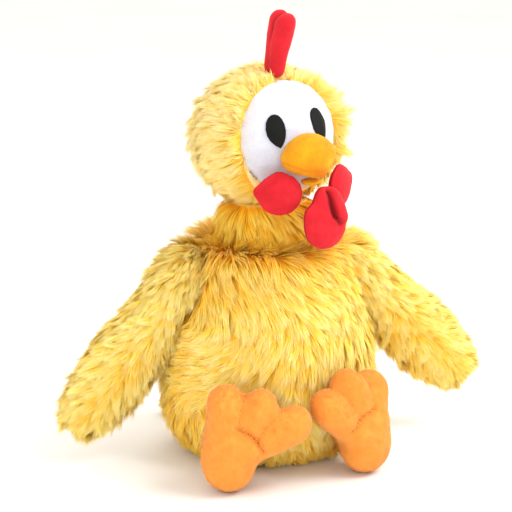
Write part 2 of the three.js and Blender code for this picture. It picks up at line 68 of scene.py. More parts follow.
# The pile: how many strands are scattered before some are left out, how low they may be rooted,
# how low any point of them may hang, and the long pile's width.
SEED = 11
STRANDS = {
    "body": 128000, "neck": 30000, "head": 105000, "wing": 62000, "foot": 42000, "tail": 16000,
}
LOWEST_ROOT = {"body": 7 * MM, "neck": 158 * MM, "head": 203 * MM, "foot": 1.5 * MM}
LOWEST_STRAND = 0.8 * MM
STRAND_WIDTH = 0.75 * MM

# The opening in the head's pile round the face: half its width and half its height, both in
# millimetres, and how far its middle is below the head's centre.
OPENING_WIDE, OPENING_TALL = 43, 42
OPENING_DROP = 5 * MM
BACK_SEAM = 14 * MM

# The air pressure and the number of steps that round out a stuffed piece.
PUFF_PRESSURE = 4.0
PUFF_STEPS = 20
EDGE_SEAM_DEPTH = 0.6 * MM

# The photo's view: camera angles in degrees and lengths in metres.
AZIMUTH, ELEVATION, LENS = (math.radians(v) for v in (-16.3, 13.7, 17.1))
DISTANCE = 1.323
AIM_HEIGHT = 0.165
SHIFT_RIGHT, SHIFT_UP = 0.0095, 0.0117
LAMP_AIM = 0.48
SKY = (1, 0.97, 0.92, 1)
SKY_STRENGTH = 1.15

joints = {j["name"]: (np.array(j["pos_m"]), np.array(j["axis"])) for j in frame["joints"]}
bodies = frame["record"]["behaviour"]["bodies"]


# ---- Small vector helpers ----

def unit(v):
    return v / np.maximum(np.linalg.norm(v, axis=-1, keepdims=True), 1e-9)


def smoothstep(value, low, high):
    t = np.clip((value - low) / (high - low), 0, 1)
    return t * t * (3 - 2 * t)


def axes_from(x, z):
    """Rows x, y and z of a right-handed frame whose x is kept and whose z is near the given one."""
    x = unit(np.asarray(x, float))
    y = unit(np.cross(z, x))
    return np.array([x, y, np.cross(x, y)])


def linear(*rgb):
    """A colour given in sRGB from 0 to 255, as linear RGBA."""
    c = np.array(rgb) / 255
    return (*np.where(c <= 0.04045, c / 12.92, ((c + 0.055) / 1.055) ** 2.4), 1.0)


# ---- Materials ----

class Nodes:
    """A material's node tree, built up call by call."""

    def __init__(self, name):
        self.material = bpy.data.materials.new(name)
        self.material.use_nodes = True
        self.tree = self.material.node_tree
        self.shader = self.tree.nodes["Principled BSDF"]

    def add(self, kind, **values):
        node = self.tree.nodes.new(kind)
        for key, value in values.items():
            setattr(node, key, value)
        return node

    def link(self, output, target):
        self.tree.links.new(output, target)

    def noise(self, scale, detail=3.0, rough=0.6):
        place = self.add("ShaderNodeTexCoord")
        noise = self.add("ShaderNodeTexNoise")
        noise.inputs["Scale"].default_value = scale
        noise.inputs["Detail"].default_value = detail
        noise.inputs["Roughness"].default_value = rough
        self.link(place.outputs["Object"], noise.inputs["Vector"])
        return noise.outputs["Fac"]

    def ramp(self, factor, stops):
        ramp = self.add("ShaderNodeValToRGB")
        elements = ramp.color_ramp.elements
        while len(elements) < len(stops):
            elements.new(0.5)
        for element, (at, colour) in zip(elements, stops):
            element.position = at
            element.color = colour
        self.link(factor, ramp.inputs["Fac"])
        return ramp.outputs["Color"]

    def mix(self, factor, a, b, blend="MIX"):
        node = self.add("ShaderNodeMix", data_type="RGBA", blend_type=blend)
        for value, socket in ((factor, node.inputs[0]), (a, node.inputs[6]), (b, node.inputs[7])):
            if isinstance(value, bpy.types.NodeSocket):
                self.link(value, socket)
            else:
                socket.default_value = value
        return node.outputs[2]

    def scaled(self, factor, low, high):
        node = self.add("ShaderNodeMapRange")
        node.inputs["From Min"].default_value = 0.25
        node.inputs["From Max"].default_value = 0.75
        node.inputs["To Min"].default_value = low
        node.inputs["To Max"].default_value = high
        self.link(factor, node.inputs["Value"])
        return node.outputs["Result"]

    def attribute(self, name):
        return self.add("ShaderNodeAttribute", attribute_name=name).outputs["Fac"]

    def bump(self, height, distance):
        node = self.add("ShaderNodeBump")
        node.inputs["Distance"].default_value = distance
        node.inputs["Strength"].default_value = 0.6
        self.link(height, node.inputs["Height"])
        self.link(node.outputs["Normal"], self.shader.inputs["Normal"])

    def finish(self, colour, roughness, sheen, sheen_tint=(1, 1, 1, 1), specular=0.2):
        self.link(colour, self.shader.inputs["Base Color"])
        self.link(roughness, self.shader.inputs["Roughness"])
        self.shader.inputs["Sheen Weight"].default_value = sheen
        self.shader.inputs["Sheen Roughness"].default_value = 0.5
        self.shader.inputs["Sheen Tint"].default_value = sheen_tint
        self.shader.inputs["Specular IOR Level"].default_value = specular
        return self.material


def pile_material(name, pale, golden):
    """Long pile: root to tip colours for pale and golden strands, mixed by each strand's tone. The darker, more
    orange roots are painted shade deep in the pile.
    """
    nodes = Nodes(name)
    along = nodes.attribute("along")
    stops = (0.0, 0.45, 1.0)
    light = nodes.ramp(along, list(zip(stops, pale)))
    deep = nodes.ramp(along, list(zip(stops, golden)))
    colour = nodes.mix(nodes.attribute("tone"), light, deep)
    patch = nodes.scaled(nodes.noise(900, 2), 0.0, 0.25)
    colour = nodes.mix(patch, colour, deep)
    roughness = nodes.scaled(nodes.noise(300), 0.55, 0.8)
    return nodes.finish(colour, roughness, 0.3, golden[1], 0.15)


def cloth_material(
    name, dark, light, seam, nap, bump, sheen=0.3, patch=70, sheen_tint=(1, 1, 1, 1),
):
    """Short-napped or felted cloth: soft patches, fine nap speckle, and a darker seam colour that is partly the
    sewn seams and partly painted shade in the pressed-in creases.
    """
    nodes = Nodes(name)
    patches = nodes.noise(patch, 3)
    speckle = nodes.noise(nap, 4, 0.7)
    colour = nodes.ramp(patches, [(0.3, dark), (0.7, light)])
    fleck = nodes.ramp(speckle, [(0.32, (0.7, 0.7, 0.7, 1)), (0.6, (1, 1, 1, 1))])
    colour = nodes.mix(0.6, colour, fleck, "MULTIPLY")
    colour = nodes.mix(nodes.attribute("seam"), colour, seam)
    nodes.bump(speckle, bump * MM)
    roughness = nodes.scaled(patches, 0.8, 0.95)
    return nodes.finish(colour, roughness, sheen, sheen_tint)


# Each ramp runs root, middle, tip: the darker, more orange roots are painted shade deep in the pile.
FUR = {
    "body": pile_material(
        "pile_body",
        (linear(255, 190, 44), linear(255, 232, 90), linear(255, 250, 190)),
        (linear(250, 146, 16), linear(255, 192, 40), linear(255, 224, 90)),
    ),
    # The neck's pile is a deeper golden copy of the body's: painted shade under the head and wattles.
    "neck": pile_material(
        "pile_neck_shaded",
        (linear(255, 170, 24), linear(255, 212, 52), linear(255, 240, 124)),
        (linear(246, 142, 12), linear(253, 182, 30), linear(255, 218, 76)),
    ),
    "head": pile_material(
        "pile_head",
        (linear(255, 196, 58), linear(255, 232, 126), linear(255, 248, 208)),
        (linear(248, 172, 34), linear(254, 212, 84), linear(255, 232, 150)),
    ),
}
backing = cloth_material(
    "backing", linear(238, 176, 44), linear(250, 204, 70), linear(214, 140, 30), 900, 0.4,
)
pale_backing = cloth_material(
    "pale_backing", linear(244, 214, 130), linear(252, 230, 164), linear(226, 180, 90), 900, 0.4,
)
# The underside, which grows no pile, is a darker orange cloth: painted shade where the body sits on the floor.
shaded_seat_cloth = cloth_material(
    "shaded_seat_cloth", linear(226, 150, 60), linear(240, 176, 84), linear(200, 120, 40), 1400, 0.3,
)
fleece = cloth_material(
    "white_fleece", linear(206, 210, 228), linear(222, 226, 240), linear(196, 190, 186),
    1500, 0.45, 0.15, 40,
)
felt = cloth_material(
    "black_felt", linear(12, 13, 13), linear(24, 25, 25), linear(8, 8, 8), 2600, 0.3, 0.05,
)
beak_plush = cloth_material(
    "golden_plush", linear(214, 132, 12), linear(234, 168, 26), linear(208, 92, 6),
    1600, 0.5, 0.2, 60, linear(255, 226, 120),
)
red_plush = cloth_material(
    "red_plush", linear(198, 22, 36), linear(222, 40, 52), linear(120, 8, 20),
    1700, 0.4, 0.2, 55, linear(255, 150, 150),
)
orange_plush = cloth_material(
    "orange_plush", linear(246, 154, 58), linear(252, 172, 74), linear(206, 66, 20),
    1500, 0.3, 0.3, 60, linear(255, 214, 160),
)


def nap_material(name, root, tip, deep):
    """Short nap that stands on plush cloth, speckled by strand."""
    nodes = Nodes(name)
    colour = nodes.ramp(nodes.attribute("along"), [(0.0, root), (1.0, tip)])
    colour = nodes.mix(nodes.attribute("tone"), colour, deep)
    roughness = nodes.scaled(nodes.noise(400), 0.75, 0.95)
    return nodes.finish(colour, roughness, 0.2, specular=0.1)


orange_nap = nap_material(
    "orange_nap", linear(249, 160, 66), linear(253, 178, 84), linear(246, 150, 58),
)


# ---- Skins ----

def coords(mesh):
    co = np.empty(len(mesh.vertices) * 3, np.float32)
    mesh.vertices.foreach_get("co", co)
    return co.reshape(-1, 3).astype(float)


def set_coords(mesh, co):
    mesh.vertices.foreach_set("co", co.astype(np.float32).ravel())
    mesh.update()


def normals_of(mesh):
    normal = np.empty(len(mesh.vertices) * 3, np.float32)
    mesh.vertices.foreach_get("normal", normal)
    return normal.reshape(-1, 3).astype(float)


def apply_modifiers(obj):
    graph = bpy.context.evaluated_depsgraph_get()
    mesh = bpy.data.meshes.new_from_object(obj.evaluated_get(graph))
    obj.modifiers.clear()
    obj.data = mesh


def largest_part(mesh):
    """Removes what the remesh may leave inside the outer skin."""
    edges = np.empty(len(mesh.edges) * 2, np.int32)
    mesh.edges.foreach_get("vertices", edges)
    a, b = edges.reshape(-1, 2).T
    label = np.arange(len(mesh.vertices))
    while True:
        low = np.minimum(label[a], label[b])
        before = label.copy()
        np.minimum.at(label, a, low)
        np.minimum.at(label, b, low)
        label = label[label]
        if (label == before).all():
            break
    kinds, counts = np.unique(label, return_counts=True)
    if len(kinds) == 1:
        return
    drop = label != kinds[counts.argmax()]
    bm = bmesh.new()
    bm.from_mesh(mesh)
    bm.verts.ensure_lookup_table()
    bmesh.ops.delete(bm, geom=[bm.verts[i] for i in np.flatnonzero(drop)], context="VERTS")
    bm.to_mesh(mesh)
    bm.free()


def skin(name, nodes, voxel, smooth, grow=0.0):
    """One closed, smooth skin round CAD nodes, moved out by grow, in metres."""
    bm = bmesh.new()
    for node in nodes:
        bm.from_mesh(frame["nodes"][node].data)
    bmesh.ops.remove_doubles(bm, verts=bm.verts, dist=1e-6)
    mesh = bpy.data.meshes.new(name)
    bm.to_mesh(mesh)
    bm.free()
    obj = bpy.data.objects.new(name, mesh)
    bpy.context.scene.collection.objects.link(obj)
    remesh = obj.modifiers.new("Remesh", "REMESH")
    remesh.mode = "VOXEL"
    remesh.voxel_size = voxel
    relax = obj.modifiers.new("Smooth", "SMOOTH")
    relax.factor = 0.5
    relax.iterations = smooth
    apply_modifiers(obj)
    largest_part(obj.data)
    if grow:
        set_coords(obj.data, coords(obj.data) + normals_of(obj.data) * grow)
    obj.data.shade_smooth()
    return obj


def puff(obj, cap):
    """Inflates a stuffed skin as cloth, and lets no point move further than cap."""
    start = coords(obj.data)
    cloth = obj.modifiers.new("Cloth", "CLOTH")
    cloth.settings.quality = 4
    cloth.settings.use_pressure = True
    cloth.settings.uniform_pressure_force = PUFF_PRESSURE
    cloth.settings.effector_weights.gravity = 0
    cloth.collision_settings.use_collision = False
    cloth.point_cache.frame_end = PUFF_STEPS
    for step in range(1, PUFF_STEPS + 1):
        bpy.context.scene.frame_set(step)
    apply_modifiers(obj)
    bpy.context.scene.frame_set(1)
    move = coords(obj.data) - start
    reach = np.linalg.norm(move, axis=1, keepdims=True)
    set_coords(obj.data, start + move * np.minimum(1, cap / np.maximum(reach, 1e-9)))


def seam_and_shade_of(obj, weight, depth):
    """Presses seams and creases in by depth where weight is high, and keeps the weight for the material's darker
    seam colour, which is partly painted shade in them.
    """
    mesh = obj.data
    set_coords(mesh, coords(mesh) - normals_of(mesh) * (weight * depth)[:, None])
    layer = mesh.attributes.get("seam") or mesh.attributes.new("seam", "FLOAT", "POINT")
    old = np.empty(len(mesh.vertices), np.float32)
    layer.data.foreach_get("value", old)
    layer.data.foreach_set("value", np.maximum(old, weight).astype(np.float32))


def subdivide(obj):
    smooth = obj.modifiers.new("Subdivision", "SUBSURF")
    smooth.levels = 1
    apply_modifiers(obj)
    obj.data.shade_smooth()


def near_path(points, path):
    """Distance from 2-D points to a polyline, and the share of the way along it."""
    best = np.full(len(points), np.inf)
    share = np.zeros(len(points))
    for i, (a, b) in enumerate(zip(path[:-1], path[1:])):
        a, b = np.array(a, float), np.array(b, float)
        t = np.clip((points - a) @ (b - a) / ((b - a) @ (b - a)), 0, 1)
        distance = np.linalg.norm(points - (a + t[:, None] * (b - a)), axis=1)
        share = np.where(distance < best, (i + t) / (len(path) - 1), share)
        best = np.minimum(best, distance)
    return best, share


def settle(obj, body, material, nodes):
    """Gives a finished piece its material and body, and hides the CAD nodes it stands for."""
    if not obj.data.materials:
        obj.data.materials.append(material)
    if "seam" not in obj.data.attributes:
        obj.data.attributes.new("seam", "FLOAT", "POINT")
    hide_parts(*nodes)
    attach(obj, body)
    return obj


# ---- Pile ----

def scatter(obj, count, rng):
    """Random places over a skin, with the skin's normals there."""
    mesh = obj.data
    mesh.calc_loop_triangles()
    corners = np.empty(len(mesh.loop_triangles) * 3, np.int32)
    mesh.loop_triangles.foreach_get("vertices", corners)
    corners = corners.reshape(-1, 3)
    co, normal = coords(mesh), normals_of(mesh)
    a, b, c = (co[corners[:, i]] for i in range(3))
    area = np.linalg.norm(np.cross(b - a, c - a), axis=1)
    chosen = rng.choice(len(area), count, p=area / area.sum())
    u, v = rng.random((2, count))
    over = u + v > 1
    u, v = np.where(over, 1 - u, u), np.where(over, 1 - v, v)
    share = np.stack([1 - u - v, u, v], 1)[:, :, None]
    roots = (co[corners[chosen]] * share).sum(1)
    return roots, unit((normal[corners[chosen]] * share).sum(1))


def turned(vector, axis, angle):
    """Vectors turned about unit axes that they are square to."""
    return vector * np.cos(angle)[:, None] + np.cross(axis, vector) * np.sin(angle)[:, None]


def grow(
    name, roots, normals, flow, rng, length, lift, width, tone,
    clump=4.5 * MM, pull=0.35, swirl=0.22, droop=0.25, frizz=1 * MM, roll=0.55, segments=3,
):
    """A mesh of tapered strands that lie along flow, gathered into locks about clump wide.
    Length, lift and tone are one value for all strands or one for each root."""
    n = len(roots)
    share = max(1, int(n * clump ** 2 / max(patch_area(roots, normals), 1e-9)))
    centres = rng.choice(n, max(1, n // share), replace=False)
    tree = KDTree(len(centres))
    for i, centre in enumerate(centres):
        tree.insert(roots[centre], i)
    tree.balance()
    lock = np.array([tree.find(root)[1] for root in roots])
    owner = centres[lock]

    along = unit(flow - (flow * normals).sum(1, keepdims=True) * normals)
    turn = rng.normal(0, swirl, len(centres))[lock] + rng.normal(0, swirl * 0.4, n)
    along = turned(along, normals, turn)
    rise = lift * (1 + rng.normal(0, 0.22, len(centres))[lock] + rng.normal(0, 0.1, n))
    rise = np.clip(rise, 0.05, 0.95)
    reach = length * (1 + rng.normal(0, 0.13, len(centres))[lock] + rng.normal(0, 0.12, n))
    start = unit(normals * rise[:, None] + along * (1 - rise)[:, None])
    steps = np.linspace(0, 1, segments + 1)[None, :, None]
    bend = along * droop * 0.6 - normals * droop * 0.7
    curve = start[:, None] * steps + bend[:, None] * steps ** 2
    path = roots[:, None] + reach[:, None, None] * curve
    path += rng.normal(0, frizz, (n, 1, 3)) * steps ** 2
    path += (path[owner] - path) * pull * steps ** 1.4
    path[..., 2] = np.maximum(path[..., 2], LOWEST_STRAND)

    side = unit(np.cross(along, normals))
    facing = unit(np.cross(side, path[:, -1] - path[:, 0]))
    twist = rng.uniform(-roll, roll, n)
    side = side * np.cos(twist)[:, None] + facing * np.sin(twist)[:, None]
    half = width * 0.5 * rng.uniform(0.7, 1.3, n)
    taper = 1 - steps[:, :-1] ** 1.6
    left = path[:, :-1] - side[:, None] * half[:, None, None] * taper
    right = path[:, :-1] + side[:, None] * half[:, None, None] * taper
    per = 2 * segments + 1  # points in one strand
    points = np.empty((n, per, 3))
    points[:, 0:-1:2] = left
    points[:, 1:-1:2] = right
    points[:, -1] = path[:, -1]

    first = np.arange(n)[:, None] * per
    quads = np.concatenate([
        np.concatenate([first + 2 * s + k for k in (0, 1, 3, 2)], 1) for s in range(segments - 1)
    ])
    tips = np.concatenate([first + per - 3, first + per - 2, first + per - 1], 1)
    mesh = bpy.data.meshes.new(name)
    mesh.vertices.add(n * per)
    mesh.vertices.foreach_set("co", points.astype(np.float32).ravel())
    corners = np.concatenate([quads.ravel(), tips.ravel()]).astype(np.int32)
    mesh.loops.add(len(corners))
    mesh.loops.foreach_set("vertex_index", corners)
    starts = np.concatenate([np.arange(len(quads)) * 4, len(quads) * 4 + np.arange(n) * 3])
    mesh.polygons.add(len(starts))
    mesh.polygons.foreach_set("loop_start", starts.astype(np.int32))
    mesh.update(calc_edges=True)
    mesh.shade_smooth()

    place = np.concatenate([np.repeat(np.linspace(0, 1, segments + 1)[:-1], 2), [1.0]])
    shade = np.clip(tone + rng.normal(0, 0.2, len(centres))[lock] + rng.normal(0, 0.12, n), 0, 1)
    for name_of, values in (("along", np.tile(place, n)), ("tone", np.repeat(shade, per))):
        layer = mesh.attributes.new(name_of, "FLOAT", "POINT")
        layer.data.foreach_set("value", values.astype(np.float32))
    blade = unit(np.cross(side, path[:, -1] - path[:, 0]))
    blade *= np.sign((blade * normals).sum(1, keepdims=True) + 1e-9)
    soft = unit(normals * 0.8 + blade * 0.4 + start * 0.1)
    mesh.normals_split_custom_set_from_vertices(np.repeat(soft, per, 0))
    obj = bpy.data.objects.new(name, mesh)
    bpy.context.scene.collection.objects.link(obj)
    return obj


def patch_area(roots, normals):
    """A rough area of what the roots cover, from the box round them."""
    wide, deep, tall = roots.max(0) - roots.min(0)
    facing = np.abs(normals).mean(0)
    return (deep * tall * facing[0] + wide * tall * facing[1] + wide * deep * facing[2]) * 1.6


def pile(name, body, slot, material, **how):
    """Strands with their material and body. The slot argument is not used."""
    obj = grow(name, **how)
    obj.data.materials.append(material)
    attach(obj, body)


# ---- Body ----

body_skin = skin("body_skin", bodies["body"], 4 * MM, 6, -2.5 * MM)
body_skin.data.materials.append(backing)
body_skin.data.materials.append(shaded_seat_cloth)
# Low faces that face the floor take the darker seat cloth: painted shade under the body.
for face in body_skin.data.polygons:
    if face.center.z < 4 * MM and face.normal.z < -0.7:
        face.material_index = 1
settle(body_skin, "body", backing, bodies["body"])

rng = np.random.default_rng(SEED)
roots, normals = scatter(body_skin, STRANDS["body"], rng)
outside = np.hypot(roots[:, 0], roots[:, 1]) > 41 * MM  # not hidden under the neck
keep = (roots[:, 2] > LOWEST_ROOT["body"]) & (normals[:, 2] > -0.8)
keep &= outside | (roots[:, 2] < 120 * MM)
roots, normals = roots[keep], normals[keep]
x, y, z = roots.T
down = np.tile(-UP, (len(roots), 1))
hip = smoothstep(-x, 25 * MM, 62 * MM) * smoothstep(z, 40 * MM, 70 * MM)
hip *= smoothstep(-z, -128 * MM, -100 * MM)
hip *= smoothstep(-y, -5 * MM, 20 * MM)
down += hip[:, None] * np.array([-1.3, 0.2, 0.9])
down[:, 0] += 0.35 * np.sin(z * 55 + x * 20) + 0.25 * np.sin(x * 90)
# A little gold everywhere is the fur's own tone; the extra gold high on the body under the neck, low down and on
# both sides, most on the right (-x) side away from the key lamp, is painted shade.
gold_and_shade = 0.1 + 0.5 * smoothstep(z, 120 * MM, 152 * MM) + 0.6 * smoothstep(-z, -55 * MM, -15 * MM)
gold_and_shade += 0.45 * smoothstep(-x, 48 * MM, 70 * MM) + 0.2 * smoothstep(x, 52 * MM, 72 * MM)
shoulder = smoothstep(z, 132 * MM, 158 * MM)
down += unit(roots * [1, 1, 0]) * (1.4 * shoulder)[:, None]
chest = smoothstep(-y, 5 * MM, 35 * MM) * smoothstep(z, 105 * MM, 145 * MM)
down[:, 0] += chest * 0.7
top = smoothstep(normals[:, 2], 0.25, 0.7) * shoulder
length = 16 * MM - 4 * MM * smoothstep(-z, -30 * MM, -8 * MM) + 4 * MM * top
lift = 0.28 + 0.16 * top
panels = {
    "front_right": (x < 0) & (y < 0),
    "front_left": (x >= 0) & (y < 0),
    "back_right": (x < 0) & (y >= 0),
    "back_left": (x >= 0) & (y >= 0),
}
for panel, inside in panels.items():
    pile(
        f"body_pile_{panel}", "body", "fur_yellow", FUR["body"], rng=rng,
        roots=roots[inside], normals=normals[inside], flow=down[inside], length=length[inside],
        lift=lift[inside], width=STRAND_WIDTH, tone=gold_and_shade[inside],
    )


# ---- Neck ----

neck_skin = skin("neck_skin", bodies["neck"], 3.5 * MM, 6, -2 * MM)
settle(neck_skin, "neck", backing, bodies["neck"])
roots, normals = scatter(neck_skin, STRANDS["neck"], rng)
keep = (normals[:, 2] < 0.8) & (roots[:, 2] > LOWEST_ROOT["neck"])
roots, normals = roots[keep], normals[keep]
low = smoothstep(-roots[:, 2], -192 * MM, -170 * MM)
flow = np.tile(-UP, (len(roots), 1)) + unit(roots * [1, 1, 0]) * (0.25 + 0.9 * low)[:, None]
flow[:, 0] += 0.6 * smoothstep(-roots[:, 1], 5 * MM, 25 * MM)
# The upper neck's strands lean further to the golden ramp: painted shade under the head.
pile(
    "neck_pile", "neck", "fur_gold", FUR["neck"], rng=rng, roots=roots, normals=normals, flow=flow,
    length=(17 + 5 * low) * MM, lift=0.26 + 0.4 * low, width=STRAND_WIDTH, tone=0.35 - 0.2 * low,
    swirl=0.15,
)


# ---- Head ----

beak_axis = joints["beak_open"][1]
back_axis = unit(np.cross(UP, beak_axis))
head_axes = np.array([beak_axis, back_axis, np.cross(beak_axis, back_axis)])
forward = -back_axis
head_panels = ["head_left_panel", "head_right_panel", "head_back_panel", "head_stuffing"]
head_skin = skin("head_skin", head_panels, 3.5 * MM, 6, -2 * MM)
settle(head_skin, "head", pale_backing, head_panels)
roots, normals = scatter(head_skin, STRANDS["head"], rng)
local = (roots - HEAD_CENTRE) @ head_axes.T
outward = unit(roots - HEAD_CENTRE)
opening = np.hypot(local[:, 0] / OPENING_WIDE, (local[:, 2] + OPENING_DROP) / OPENING_TALL) / MM
edge = smoothstep(-opening, -1.12, -1.0)
keep = (normals * outward).sum(1) > 0.25 - 0.75 * edge
keep &= (opening > 0.945) | (local[:, 1] > 0)
keep &= roots[:, 2] > LOWEST_ROOT["head"]
roots, normals, local, outward, opening = (
    v[keep] for v in (roots, normals, local, outward, opening)
)
behind = smoothstep(local[:, 1], -22 * MM, 16 * MM)
flow = unit((outward @ forward)[:, None] * outward - forward) * (1 - 0.9 * behind)[:, None]
flow -= (0.25 + 0.75 * behind)[:, None] * UP
rim = smoothstep(-opening, -1.5, -1.0) * (local[:, 1] < 0)
# The extra gold round the face opening, most along its top, is painted shade where the pile meets the inset face.
gold_and_shade = 0.15 + 0.45 * rim + 0.3 * smoothstep(local[:, 2], 25 * MM, 50 * MM) * rim
length = 17 * MM - 3 * MM * rim - 6 * MM * smoothstep(local[:, 2], 25 * MM, 48 * MM)
length += 6 * MM * smoothstep(local[:, 0], 15 * MM, 40 * MM) * smoothstep(-local[:, 2], -25 * MM, 0)
lift = 0.5 - 0.2 * rim - 0.15 * np.maximum(smoothstep(local[:, 2], 25 * MM, 48 * MM), behind)
pieces = {
    "left": (local[:, 1] < BACK_SEAM) & (local[:, 0] >= 0),
    "right": (local[:, 1] < BACK_SEAM) & (local[:, 0] < 0),
    "back": local[:, 1] >= BACK_SEAM,
}
for panel, inside in pieces.items():
    pile(
        f"head_pile_{panel}", "head", "fur_yellow", FUR["head"], rng=rng,
        roots=roots[inside], normals=normals[inside], flow=flow[inside], length=length[inside],
        lift=lift[inside], width=STRAND_WIDTH, tone=gold_and_shade[inside], swirl=0.18, droop=0.15,
    )

face = skin("face", ["face_panel"], 1.3 * MM, 3, 0.4 * MM)
subdivide(face)
settle(face, "head", fleece, ["face_panel"])
for side in ("left", "right"):
    eye = skin(f"felt_eye_{side}", [f"eye_{side}"], 0.4 * MM, 1)
    settle(eye, "head", felt, [f"eye_{side}"])


# ---- Beak ----

beak = skin("beak", ["beak_upper", "beak_stuffing"], 2.6 * MM, 5, -0.3 * MM)
puff(beak, 1.5 * MM)
subdivide(beak)
local = (coords(beak.data) - HEAD_CENTRE) @ head_axes.T
middle = np.exp(-(((local[:, 2] + 13 * MM) / (9 * MM)) ** 2))
local[:, 0] *= 1 + 0.13 * middle - 0.06 * smoothstep(local[:, 2], -4 * MM, 10 * MM)
set_coords(beak.data, local @ head_axes + HEAD_CENTRE)
# Darker orange in a patch low in the middle and below the crease, laid on through the seam colour with no depth,
# is painted shade where the beak turns under; the crease itself is pressed in and darkened the same way.
lower_shade = np.exp(-((local[:, 0] / (9 * MM)) ** 2))
lower_shade *= np.exp(-(((local[:, 2] + 19 * MM) / (6 * MM)) ** 2))
crease = local[:, 2] + (17 - 7.5 * (local[:, 0] / (22 * MM)) ** 2) * MM
seam_and_shade_of(beak, 0.5 * np.exp(-((crease / (1.2 * MM)) ** 2)), 0.5 * MM)
seam_and_shade_of(beak, np.maximum(0.7 * lower_shade, 0.3 * smoothstep(-crease, 0, 4 * MM)), 0)
settle(beak, "head", beak_plush, ["beak_upper", "beak_stuffing"])
lip = skin("beak_lip", ["lower_beak"], 1.4 * MM, 3)
subdivide(lip)
settle(lip, "lower_beak", beak_plush, ["lower_beak"])


# ---- Wattles and comb ----

def padded_piece(body, voxel, cap, shape, material, shrink=0.0):
    """A body's one stuffed piece, named after it: shape(obj) moves its points and presses its
    seams in."""
    obj = skin(body, bodies[body], voxel, 3, shrink)
    puff(obj, cap)
    subdivide(obj)
    shape(obj)
    return settle(obj, body, material, bodies[body])


def edge_seam(obj, origin, axes, width=0.7 * MM):
    """Presses in the seam that runs round a piece's edge, halfway through its thickness. Its darker colour is
    partly painted shade at the rounded edge.
    """
    local = (coords(obj.data) - origin) @ axes.T
    seam_and_shade_of(obj, np.exp(-((local[:, 1] / width) ** 2)), EDGE_SEAM_DEPTH)


def cheek_shape(side, origin, axes):
    def shape(obj):
        local = (coords(obj.data) - origin) @ axes.T
        away = local - np.array([0, 0, -18]) * MM
        reach = np.hypot(away[:, 0], away[:, 2])
        angle = np.degrees(np.arctan2(away[:, 2], away[:, 0] * side))
        corner = np.exp(-(((angle - 10) / 20) ** 2)) * smoothstep(reach, 4 * MM, 17 * MM)
        local[:, 0] += side * corner * 3.5 * MM
        local[:, 1] *= 1 - 0.35 * smoothstep(reach, 9 * MM, 18 * MM)
        set_coords(obj.data, local @ axes + origin)
        edge_seam(obj, origin, axes)
    return shape


for name, side in (("left", 1), ("right", -1)):
    body = f"cheek_wattle_{name}"
    origin, axis = joints[f"{body}_swing"]
    shape = cheek_shape(side, origin, axes_from(-axis, head_axes[2]))
    padded_piece(body, 1.5 * MM, 1.2 * MM, shape, red_plush)

centre_origin, centre_axis = joints["centre_wattle_swing"]
centre_axes = axes_from(-centre_axis, head_axes[2])


def centre_shape(obj):
    local = (coords(obj.data) - centre_origin) @ centre_axes.T
    flat = local[:, [0, 2]] / MM
    front = smoothstep(-local[:, 1], -1 * MM, 3 * MM)
    # A crease pressed in down the front and darkened by the seam colour: painted shade in the crease.
    crease, share = near_path(flat, [(1.0, -3), (2.5, -12), (4, -20), (8, -26), (13, -28)])
    deep = np.exp(-((crease / 1.7) ** 2)) * front * (1 - smoothstep(share, 0.65, 1.0))
    fold = smoothstep(flat[:, 0], 3, 7) * smoothstep(flat[:, 1], -30, -22) * front
    local[:, 1] -= fold * 2.2 * MM
    waist = np.exp(-(((flat[:, 1] + 13) / 8) ** 2))
    sides = smoothstep(-flat[:, 0], -2, 5) * -4 + smoothstep(flat[:, 0], 4, 11) * 1.5
    local[:, 0] += sides * waist * MM
    local[:, 2] += smoothstep(flat[:, 1], -20, -4) * 2.5 * MM
    set_coords(obj.data, local @ centre_axes + centre_origin)
    seam_and_shade_of(obj, deep, 3.2 * MM)
    edge_seam(obj, centre_origin, centre_axes)


padded_piece("centre_wattle", 1.5 * MM, 1.2 * MM, centre_shape, red_plush)

comb_origin, comb_axis = joints["comb_flop"]
comb_across = unit(np.cross(comb_axis, head_axes[2]))
comb_axes = np.array([comb_across, comb_axis, np.cross(comb_across, comb_axis)])


def comb_shape(obj):
    local = (coords(obj.data) - comb_origin) @ comb_axes.T
    top = smoothstep(local[:, 2], 4 * MM, 30 * MM)
    local[:, 1] *= 0.84 + 0.06 * top
    local[:, 0] *= 1 + 0.3 * top
    set_coords(obj.data, local @ comb_axes + comb_origin)
    # The cleft between the lobes is pressed in and darkened by the seam colour: painted shade in the cleft.
    cleft = np.exp(-((local[:, 1] / (1.4 * MM)) ** 2)) * smoothstep(local[:, 2], 18 * MM, 34 * MM)
    seam_and_shade_of(obj, 0.6 * cleft, 1.2 * MM)


padded_piece("comb", 1.5 * MM, 1.0 * MM, comb_shape, red_plush)


# ---- Wings ----

